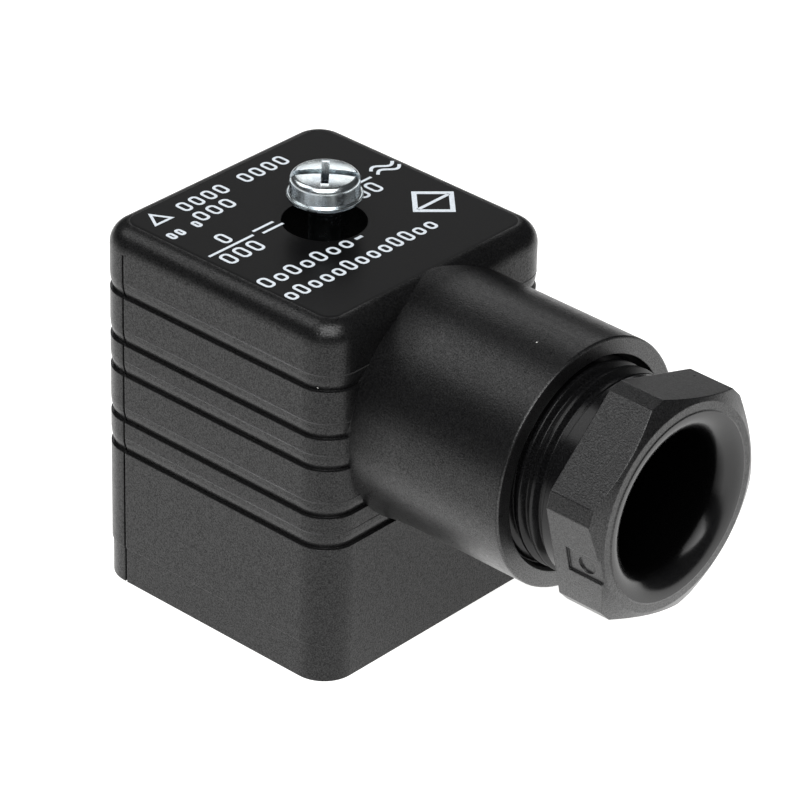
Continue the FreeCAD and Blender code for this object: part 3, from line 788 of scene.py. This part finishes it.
def terminal_screw(name, material):
    """Slotted clamping screw with a cross recess."""
    low, high = (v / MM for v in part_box("terminal_screw_" + name))
    centre = ((low.x + high.x) / 2, (low.y + high.y) / 2)
    foot, top, tip = high.z - 1.8, high.z, low.z
    shank_r, head_r = 1.2, 2.5
    profile = [(foot, shank_r), (foot, head_r - 0.2)]
    profile += arc((foot + 0.2, head_r - 0.2), 0.2, 180, 90, 4)
    profile += arc((top - 0.4, head_r - 0.4), 0.4, 90, 10, 6)
    profile += [(top - 0.02, 1.2), (top, 0.02)]
    bm = bmesh.new()
    lathe(bm, profile, (*centre, 0), steps=64)
    head = piece("terminal_screw_head_" + name, bm, "terminal_screw_" + name,
                 material, replaces=("terminal_screw_" + name,))
    turn = 0.0 if name == "earth" else math.pi / 2
    cut_recess(head, centre, top, width=0.7, depth=0.8, cross=((0.2, 1.2), (0.34, 1.6), 1.15),
               angle=turn + 0.6, radius=head_r)
    soften(head, 0.05, 2, 38)
    sharpen(head, 30)
    bm = bmesh.new()
    threaded_rod(bm, centre, tip, foot + 0.1, crest=1.47, root=shank_r, steps=32, per_turn=8)
    rod = piece("terminal_screw_thread_" + name, bm, "terminal_screw_" + name,
                material, smooth=False)
    sharpen(rod, 50)


def diode_leg(bm, x, y, way, half_y):
    """Tinned strip out of the case's end, down to the board and back under it; way is -1 or 1 along Y."""
    half_width = 0.72
    outline = [(-0.1, 0.95), (0.25, 0.95), (0.36, 0.84), (0.36, 0.16), (0.24, 0.04), (-0.75, 0.04),
               (-0.75, 0.15), (0.16, 0.15), (0.22, 0.21), (0.22, 0.76), (0.16, 0.82), (-0.1, 0.82)]
    ends = (x - half_width, x + half_width)
    loft(bm, [[(end, y + way * (half_y + d), BOARD_TOP + h) for d, h in outline] for end in ends])


def diode(name, case_material, leg_material, band_material):
    """Surface-mounted diode: chamfered case with a polarity band, and two folded legs."""
    low, high = (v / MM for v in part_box("diode_" + name))
    x, y = (low.x + high.x) / 2, (low.y + high.y) / 2
    half_x, half_y, top = (high.x - low.x) / 2, (high.y - low.y) / 2 - 0.4, high.z
    middle, foot = BOARD_TOP + 1.05, BOARD_TOP + 0.16
    draft = 0.14
    sections = ((draft, foot), (0.0, middle), (draft, top - 0.12), (draft + 0.14, top))
    bm = bmesh.new()
    loft(bm, [rectangle(x, y, half_x - inset, half_y - inset, z) for inset, z in sections])
    case = piece("diode_case_" + name, bm, "carrier", case_material, smooth=False,
                 replaces=("diode_" + name,))
    soften(case, 0.06, 2, 20)
    sharpen(case, 25)
    bm = bmesh.new()
    for way in (-1, 1):
        diode_leg(bm, x, y, way, half_y)
    piece("diode_legs_" + name, bm, "carrier", leg_material, smooth=False)
    bm = bmesh.new()
    band = y + (half_y - 0.95) * (1 if name in ("1", "4") else -1)
    reach = half_x - 0.32
    box_into(bm, (x - reach, band - 0.22, top - 0.02), (x + reach, band + 0.22, top + 0.012))
    piece("diode_band_" + name, bm, "carrier", band_material, smooth=False)


def solder_fillet(bm, x, y, half_x, half_y, height):
    """Concave skirt of solder round a pin."""
    spread, steps = 0.55, 24
    rings = []
    for share, rise in ((0.0, 1.0), (0.12, 0.62), (0.35, 0.3), (0.65, 0.12), (1.0, 0.0)):
        w, d = half_x + spread * share, half_y + spread * share
        ring = []
        for i in range(steps):
            a = 2 * math.pi * i / steps
            k = 1.0 / max(abs(math.cos(a)), abs(math.sin(a))) ** (1 - 0.5 * share)
            z = BOARD_TOP - 0.02 + height * rise
            ring.append((x + w * k * math.cos(a), y + d * k * math.sin(a), z))
        rings.append(ring)
    loft(bm, rings)


def board_solder(material):
    """Joints round the contacts' tails, and pads under the diodes' legs."""
    tail_x, pad_half, pad_length = 2.4, 0.9, 0.35
    bm = bmesh.new()
    for name in ("1", "2"):
        low, high = (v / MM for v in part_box("contact_" + name))
        solder_fillet(bm, (low.x + high.x) / 2 + tail_x, (low.y + high.y) / 2, 0.6, 0.4, 0.6)
    for name in DIODES:
        low, high = (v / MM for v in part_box("diode_" + name))
        x = (low.x + high.x) / 2
        for y, way in ((low.y + 0.02, -1), (high.y - 0.02, 1)):
            y0, y1 = sorted((y, y + way * pad_length))
            box_into(bm, (x - pad_half, y0, BOARD_TOP - 0.01), (x + pad_half, y1, BOARD_TOP + 0.05))
    piece("board_solder", bm, "carrier", material)


def board_tracks(material):
    """Copper tracks that show through the resist, the same on both halves of the board."""
    bm = bmesh.new()
    for side in (-1, 1):
        for width, points in (
                (1.1, ((2.4, 9.0), (2.4, 7.6), (3.6, 6.5), (8.8, 6.5))),
                (0.8, ((5.3, 0.45), (8.8, 0.45))),
                (0.9, ((-1.5, 9.9), (3.2, 9.9), (6.4, 8.4), (9.9, 8.4)))):
            ribbon(bm, [(x, side * y) for x, y in points], width, BOARD_TOP - 0.01, BOARD_TOP + 0.03)
    piece("board_tracks", bm, "carrier", material, smooth=False)


def board_outlines(material):
    """Plain printed outlines round the diodes."""
    gap = 0.3
    bm = bmesh.new()
    for name in DIODES:
        low, high = (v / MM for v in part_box("diode_" + name))
        x0, x1, y0, y1 = low.x - gap, high.x + gap, low.y - gap, high.y + gap
        corners = [(x0, y0), (x1, y0), (x1, y1), (x0, y1)]
        ribbon(bm, corners, 0.14, BOARD_TOP - 0.01, BOARD_TOP + 0.04, closed=True)
    piece("board_outlines", bm, "carrier", material, smooth=False)


# --- the room --------------------------------------------------------------------

def camera():
    """The photograph's view."""
    a, e, roll = (math.radians(v) for v in (CAMERA_AZIMUTH, CAMERA_ELEVATION, CAMERA_ROLL))
    back = Vector((math.sin(a) * math.cos(e), -math.cos(a) * math.cos(e), math.sin(e)))
    level = (-back).cross(Vector((0, 0, 1))).normalized()
    upright = level.cross(-back)
    right = level * math.cos(roll) + upright * math.sin(roll)
    up = upright * math.cos(roll) - level * math.sin(roll)
    aim = Vector(LOOK_NEAR) + right * LOOK_OFFSET[0] + up * LOOK_OFFSET[1]
    data = bpy.data.cameras.new("camera")
    data.lens = CAMERA_LENS
    data.sensor_width = 36.0
    data.clip_start, data.clip_end = 0.01, 20.0
    obj = bpy.data.objects.new("camera", data)
    bpy.context.scene.collection.objects.link(obj)
    turned = Matrix((right, up, back)).transposed().to_4x4()
    obj.matrix_world = Matrix.Translation((aim + back * CAMERA_DISTANCE) * MM) @ turned
    bpy.context.scene.camera = obj


def floor(material):
    """Wide slab, its top just under the connector's base."""
    bm = bmesh.new()
    size = 2500.0
    box_into(bm, (-size, -size, -5.0), (size, size, -0.03))
    piece("floor", bm, None, material, smooth=False)


def softbox(name, direction, size, power):
    """Square area light that looks at the middle of the connector."""
    data = bpy.data.lights.new(name, "AREA")
    data.shape = "SQUARE"
    data.size = size
    data.energy = power
    obj = bpy.data.objects.new(name, data)
    bpy.context.scene.collection.objects.link(obj)
    aim = Vector(LIGHTS_AIM)
    obj.location = aim + Vector(direction).normalized() * LIGHT_DISTANCE
    obj.rotation_mode = "QUATERNION"
    obj.rotation_quaternion = (obj.location - aim).to_track_quat("Z", "Y")


def room():
    """A faint sky for the shadows, and the lights."""
    world = bpy.data.worlds.new("studio")
    bpy.context.scene.world = world
    world.use_nodes = True
    backdrop = world.node_tree.nodes["Background"]
    backdrop.inputs["Color"].default_value = (0.95, 0.97, 1.0, 1)
    backdrop.inputs["Strength"].default_value = 0.04
    for name, (direction, size, power) in LIGHTS.items():
        softbox(name, direction, size, power)
    bpy.context.scene.view_settings.view_transform = "Standard"


# --- the whole scene ---------------------------------------------------------------

def finish_cad_nodes():
    """Gives every carried-over CAD node its material, and returns the materials by node."""
    tin = plated("contact_metal", (0.8, 0.79, 0.76), (0.7, 0.69, 0.66), 0.34, 0.001,
                 metallic=0.8, tint=(0.72, 0.7, 0.62)).material
    washer_steel = plated("washer_steel", (0.74, 0.75, 0.76), (0.6, 0.61, 0.63), 0.38, 0.0015).material
    clamp_steel = plated("clamp_steel", (0.76, 0.77, 0.78), (0.64, 0.65, 0.67), 0.34, 0.0015).material
    made = {
        "housing": housing_plastic(),
        "gland_nut": nut_plastic(),
        "contact_carrier": carrier_plastic(),
        "screw_retainer": natural_plastic(),
        "thrust_washer": washer_steel,
        "screw_seal": rubber("oring_rubber", (0.012, 0.012, 0.012), 0.45),
        "profile_gasket": rubber("gasket_rubber", (0.022, 0.022, 0.022), 0.7),
        "circuit_board": board_laminate(),
        "terminal_1": brass(),
    }
    made["terminal_2"] = made["terminal_1"]
    for name in TERMINALS:
        made["contact_" + name] = tin
        made["clamp_" + name] = clamp_steel
    for node, material in made.items():
        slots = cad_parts[node].data.materials
        slots.clear()
        slots.append(material)
    return made


camera()
cad_materials = finish_cad_nodes()
rib_creases(crease_highlight_plastic())
gland_thread(cad_materials["housing"])
top_print(ink("print_white", (0.78, 0.84, 0.9)))
fixing_screw(fixing_screw_zinc())
grommet(rubber("seal_rubber", (0.007, 0.007, 0.007), 0.6))
screw_zinc = plated("terminal_screw_steel", (0.8, 0.83, 0.85), (0.7, 0.73, 0.75), 0.3, 0.0015).material
for name in TERMINALS:
    terminal_screw(name, screw_zinc)
legend = ink("legend_white", (0.75, 0.75, 0.72))
case = diode_plastic()
for name in DIODES:
    diode(name, case, cad_materials["contact_1"], legend)
board_solder(solder())
board_tracks(board_track())
board_outlines(legend)
floor(light_table())
room()
